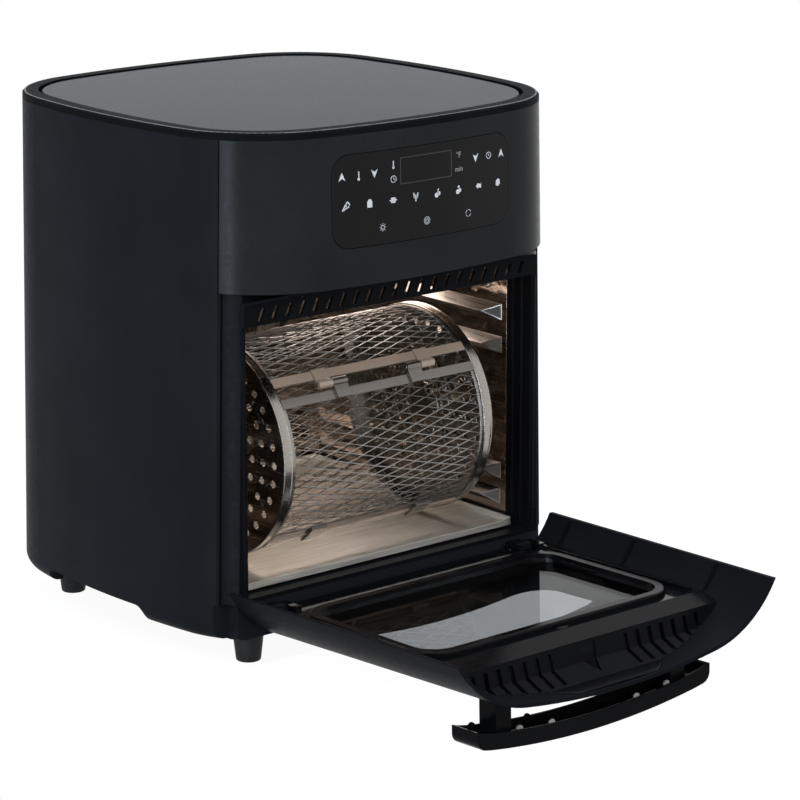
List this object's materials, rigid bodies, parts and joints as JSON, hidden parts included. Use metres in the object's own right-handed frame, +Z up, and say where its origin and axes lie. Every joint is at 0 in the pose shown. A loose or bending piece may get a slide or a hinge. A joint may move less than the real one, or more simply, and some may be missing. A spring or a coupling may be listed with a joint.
{
  "type": "rotisserie oven",
  "caption": "Upright countertop rotisserie oven with a drop-down windowed door, a turning mesh drum with a hinged lid, a pull-out drip tray and a fan-heated steel cavity.",
  "frame": {"origin": "on the table under the centre of the body, level with the undersides of the feet", "axes": "+Z up, front with the door towards -Y, +X to the right as seen from the front"},
  "size_m": [0.3242, 0.5132, 0.3807],
  "materials": {
    "body_black": "satin moulded black with a fine texture",
    "top_gloss": "smooth glossy blue-grey black",
    "panel_gloss": "glossy black touch panel",
    "frame_gloss": "glossy black moulding",
    "door_gloss": "semi-gloss black moulding",
    "liner_steel": "bright rolled steel",
    "tray_steel": "bright brushed steel",
    "drum_steel": "expanded steel mesh",
    "end_steel": "pressed steel",
    "pin_steel": "plated steel",
    "rubber": "black moulded rubber",
    "gasket": "black silicone",
    "clear_glass": "clear toughened glass",
    "plated_sheet": "zinc-plated sheet",
    "heater_tube": "dark oxidised tube",
    "motor_grey": "plated motor steel",
    "fan_alloy": "pressed alloy",
    "circuit_board": "green circuit board",
    "inner_plastic": "heat-resistant pale plastic"
  },
  "bodies": {
    "housing": {"base_pan": "body_black", "base_screws": "pin_steel", "control_board": "circuit_board", "control_fascia": "body_black", "control_panel": "panel_gloss", "cord_gland": "rubber", "door_switch": "inner_plastic", "drum_bearing": "liner_steel", "fan_motor": "motor_grey", "front_feet": "rubber", "front_frame": "frame_gloss", "heater_chamber": "plated_sheet", "heating_element": "heater_tube", "hinge_brackets": "pin_steel", "lamp_cover": "clear_glass", "lamp_holder": "inner_plastic", "left_side_cover": "body_black", "liner_back_wall": "liner_steel", "liner_floor": "liner_steel", "liner_left_wall": "liner_steel", "liner_right_wall": "liner_steel", "liner_roof": "liner_steel", "motor_bracket": "plated_sheet", "power_board": "circuit_board", "rack_rails_left": "liner_steel", "rack_rails_right": "liner_steel", "rear_cover": "body_black", "rear_feet": "rubber", "right_side_cover": "body_black", "rotisserie_motor": "motor_grey", "thermal_cutout": "plated_sheet", "top_cover": "body_black", "top_panel": "top_gloss", "vent_grille": "frame_gloss"},
    "door": {"door_gasket": "gasket", "door_hinge_pins": "pin_steel", "door_inner_frame": "door_gloss", "door_inner_glass": "clear_glass", "door_outer_glass": "clear_glass", "door_outer_shell": "door_gloss", "door_vent_panel": "door_gloss", "handle_grip": "door_gloss", "handle_posts": "door_gloss"},
    "tray": {"drip_tray": "tray_steel"},
    "drum": {"drum_end_left": "end_steel", "drum_end_right": "end_steel", "drum_mesh": "drum_steel", "drum_bars": "drum_steel", "drum_hinge_pins": "pin_steel", "drum_drive_pin": "pin_steel", "drum_idle_pin": "pin_steel"},
    "lid": {"lid_mesh": "drum_steel", "lid_bars": "drum_steel", "lid_latches": "drum_steel"},
    "drive": {"drive_spindle": "pin_steel"},
    "fan": {"convection_fan": "fan_alloy", "cooling_fan": "fan_alloy", "fan_shaft": "pin_steel"}
  },
  "joints": [
    {"name": "door_hinge", "type": "hinge", "parent": "housing", "child": "door", "pos_m": [0, -0.132, 0.0405], "axis": [1, 0, 0], "range_deg": [-88.5, 0]},
    {"name": "drum_spin", "type": "hinge", "parent": "housing", "child": "drum", "pos_m": [0, -0.045, 0.133], "axis": [1, 0, 0], "continuous": true},
    {"name": "drive_spin", "type": "hinge", "parent": "housing", "child": "drive", "pos_m": [-0.12, -0.045, 0.133], "axis": [1, 0, 0], "continuous": true},
    {"name": "lid_hinge", "type": "hinge", "parent": "drum", "child": "lid", "pos_m": [0, -0.10322, 0.18185], "axis": [-1, 0, 0], "range_deg": [0, 75]},
    {"name": "tray_slide", "type": "slide", "parent": "housing", "child": "tray", "axis": [0, -1, 0], "range_m": [0, 0.19]},
    {"name": "fan_spin", "type": "hinge", "parent": "housing", "child": "fan", "pos_m": [0, 0.014, 0.3], "axis": [0, 0, 1], "continuous": true}
  ],
  "couplings": [
    {"joint": "drive_spin", "follows": "drum_spin", "ratio": 1}
  ]
}
